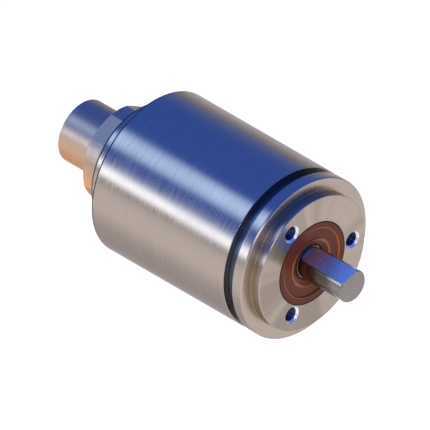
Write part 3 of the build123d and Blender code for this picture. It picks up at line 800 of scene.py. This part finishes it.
flat_high = (SHAFT_TIP + OVERSHOOT, SHAFT_R + OVERSHOOT, 2 * SHAFT_R)
flat_tool = turn_about_x(box_piece("flat_tool", flat_low, flat_high), FLAT_ANGLE)
combine(shaft, [flat_tool])
shade(shaft, sharp_degrees=25.0, bevel=0.1)
shaft.data.materials.append(MATERIALS["ground_stainless"])
# Painted highlight: the flat gets the lighter copy of the steel.
shaft.data.materials.append(FLAT_HIGHLIGHT_PAINT)
flat_normal = Vector((0, cos(radians(FLAT_ANGLE)), sin(radians(FLAT_ANGLE))))
for polygon in shaft.data.polygons:
    height = polygon.center.dot(flat_normal) / MM
    faces_outwards = polygon.normal.dot(flat_normal) > 0.99
    polygon.material_index = int(abs(height - FLAT_HEIGHT) < ON_FACE and faces_outwards)
finish_piece(shaft, "rotor", "shaft")


# ---------------------------------------------------------------- connector

def hexagon(name, across_flats, x_front, x_rear):
    """Six-sided bar along X with its first flat towards +Y."""
    corner_r = across_flats / 2 / cos(radians(30))
    turn = [radians(30 + 60 * k) for k in range(6)]
    bm = bmesh.new()
    ends = []
    for x in (x_front, x_rear):
        corners = [(x * MM, corner_r * MM * cos(a), corner_r * MM * sin(a)) for a in turn]
        ends.append([bm.verts.new(corner) for corner in corners])
        bm.faces.new(ends[-1])
    for k in range(6):
        after = (k + 1) % 6
        bm.faces.new((ends[0][k], ends[0][after], ends[1][after], ends[1][k]))
    bmesh.ops.recalc_face_normals(bm, faces=bm.faces)
    return object_from(name, bm)


# The hexagon's corners are turned down and its ends chamfered, so it starts as a turned blank.
hexagon_block = hexagon("hexagon_block", HEX_ACROSS_FLATS, COVER_REAR + OVERSHOOT, HEX_REAR - OVERSHOOT)
hex_piece = lathe("connector_hexagon", [
    (COVER_REAR, THREAD_R, 0),
    (COVER_REAR, HEX_CORNER_R - HEX_CHAMFER_RISE, 0.1),
    (COVER_REAR - HEX_CHAMFER, HEX_CORNER_R, 0.1),
    (HEX_REAR + HEX_CHAMFER, HEX_CORNER_R, 0.1),
    (HEX_REAR, HEX_CORNER_R - HEX_CHAMFER_RISE, 0.1),
    (HEX_REAR, THREAD_R, 0),
])
combine(hex_piece, [hexagon_block], "INTERSECT")
shell = lathe("connector_shell_visual", [
    (THREAD_FRONT, TAIL_BORE_R, 0.1),
    (THREAD_FRONT, THREAD_R, 0.3),
    (COVER_REAR - OVERLAP, THREAD_R, 0),
    (COVER_REAR - OVERLAP, SHELL_WAIST_R, 0),
    (HEX_REAR + OVERLAP, SHELL_WAIST_R, 0),
    (HEX_REAR + OVERLAP, SHELL_R, 0),
    (SHELL_REAR, SHELL_R, 0.45),
    (SHELL_REAR, SOCKET_R, 0.35),
    (SOCKET_FLOOR, SOCKET_R, 0.1),
    (SOCKET_FLOOR, TAIL_BORE_R, 0.1),
], segments=160)
key_low = (SHELL_REAR + KEY_SETBACK, SOCKET_R - KEY_HEIGHT, -KEY_HALF_WIDTH)
key_high = (INSERT_REAR, SOCKET_R + 0.4, KEY_HALF_WIDTH)
key = turn_about_x(box_piece("key", key_low, key_high), 90.0)
combine(shell, [hex_piece, key], "UNION")
shade(shell, sharp_degrees=28.0, bevel=0.12)
finish_piece(shell, "housing", "connector_shell")


# ---------------------------------------------------------------- light, floor

class WorldNodes(Nodes):
    """The studio around the object, looked up by direction."""

    def __init__(self, world):
        super().__init__(world)
        self.tree.nodes.clear()
        self.output = self.add("ShaderNodeOutputWorld")
        self.place = self.add("ShaderNodeTexCoord").outputs["Generated"]
        parts = self.add("ShaderNodeSeparateXYZ")
        self.link(self.place, parts.inputs[0])
        self.height = parts.outputs[2]

    def towards(self, direction):
        """Cosine of the angle between the looked-up direction and this one."""
        dot = self.add("ShaderNodeVectorMath", operation="DOT_PRODUCT")
        dot.inputs[1].default_value = Vector(direction).normalized()
        self.link(self.place, dot.inputs[0])
        return dot.outputs["Value"]

    def background(self, colour, strength):
        shader = self.add("ShaderNodeBackground")
        shader.inputs["Color"].default_value = (*colour, 1)
        self.link(strength, shader.inputs["Strength"])
        return shader.outputs[0]

    def sky(self, stops):
        """Colour by the height of the direction, from (height, colour) stops."""
        ramp = self.add("ShaderNodeValToRGB")
        points = ramp.color_ramp.elements
        for position, colour in stops[1:-1]:
            points.new(position).color = (*colour, 1)
        for point, (position, colour) in ((points[0], stops[0]), (points[-1], stops[-1])):
            point.position = position
            point.color = (*colour, 1)
        self.link(self.height, ramp.inputs["Fac"])
        shader = self.add("ShaderNodeBackground")
        self.link(ramp.outputs["Color"], shader.inputs["Color"])
        return shader.outputs[0]

    def lobe(self, direction, colour, strength, inner, outer):
        """A soft bright patch around one direction, full within the inner angle, in degrees."""
        edges = (cos(radians(outer)), cos(radians(inner)))
        soft = self.ramp(self.towards(direction), *edges, to_high=strength, interpolation="SMOOTHSTEP")
        return self.background(colour, soft)

    def horizon_band(self, heights, direction, colour, strength):
        """A bright band low over one side of the horizon, full between the middle two heights."""
        rise = self.ramp(self.height, heights[0], heights[1], interpolation="SMOOTHSTEP")
        fall = self.ramp(self.height, heights[3], heights[2], interpolation="SMOOTHSTEP")
        facing = self.towards(direction)
        side = self.ramp(facing, 0.0, 0.8, to_high=strength, interpolation="SMOOTHSTEP")
        band = self.math("MULTIPLY", self.math("MULTIPLY", rise, fall), side)
        return self.background(colour, band)

    def show(self, shaders):
        """Adds all the shaders up into the world's surface."""
        total = shaders[0]
        for shader in shaders[1:]:
            join = self.add("ShaderNodeAddShader")
            self.link(total, join.inputs[0])
            self.link(shader, join.inputs[1])
            total = join.outputs[0]
        self.link(total, self.output.inputs["Surface"])


def studio_world():
    world = bpy.data.worlds.new("studio")
    bpy.context.scene.world = world
    n = WorldNodes(world)
    n.show([
        n.sky((
            (0.0, (0.55, 0.52, 0.48)),
            (0.03, (0.62, 0.62, 0.66)),
            (0.14, (0.30, 0.40, 0.88)),
            (0.32, (0.14, 0.27, 0.95)),
            (0.5, (0.065, 0.18, 1.0)),
            (1.0, (0.065, 0.18, 1.0)),
        )),
        n.lobe((-0.577, -0.408, 0.707), (0.55, 0.82, 1.15), strength=2.3, inner=0.5, outer=15.0),
        n.lobe((0.81, -0.40, 0.40), (1.0, 0.97, 0.93), strength=3.0, inner=4.0, outer=14.0),
        n.horizon_band((0.06, 0.15, 0.22, 0.36), (-0.577, -0.793, 0.0), (0.86, 1.0, 1.2), strength=2.9),
    ])


def area_light(name, location, power, size, colour):
    """Square lamp turned towards the object and not seen in mirrors."""
    data = bpy.data.lights.new(name, "AREA")
    data.energy = power
    data.size = size
    data.color = colour
    lamp = bpy.data.objects.new(name, data)
    bpy.context.scene.collection.objects.link(lamp)
    lamp.location = location
    lamp.visible_glossy = False
    lamp.rotation_euler = Vector(location).to_track_quat("Z", "Y").to_euler()


FLOOR_HALF_SIZE = 12.0
FLOOR_DROP = 0.30
# Middle of the painted shadow, where the floor glows less, beside the object
SHADE_X = -0.24
SHADE_Y = -0.12


def studio_floor():
    """Pale floor that glows a little, with a painted shadow: it glows less near one spot beside the
    object, and less far to either side.
    """
    bm = bmesh.new()
    bmesh.ops.create_grid(bm, x_segments=8, y_segments=8, size=FLOOR_HALF_SIZE)
    floor = object_from("floor", bm)
    floor.location = (0, 0, -FLOOR_DROP)
    n = MaterialNodes("pale_floor")
    n.shader.inputs["Base Color"].default_value = (0.30, 0.28, 0.25, 1)
    n.shader.inputs["Roughness"].default_value = 0.9
    n.shader.inputs["Emission Color"].default_value = (1.0, 0.985, 0.95, 1)
    _, x, y, _, from_shaft_line = n.coordinates()
    from_spot = n.length(n.math("SUBTRACT", x, SHADE_X), n.math("SUBTRACT", y, SHADE_Y))
    # Painted shadow: less glow around the spot beside the object.
    beside = n.ramp(from_spot, 0.06, 0.32, 0.62, 0.95)
    away = n.ramp(from_shaft_line, 1.0, 5.0, 1.0, 0.62)
    n.link(n.math("MULTIPLY", beside, away), n.shader.inputs["Emission Strength"])
    floor.data.materials.append(n.material)


studio_world()
studio_floor()
area_light("key", location=(0.8, -0.5, 0.5), power=8.0, size=0.7, colour=(1.0, 0.96, 0.92))
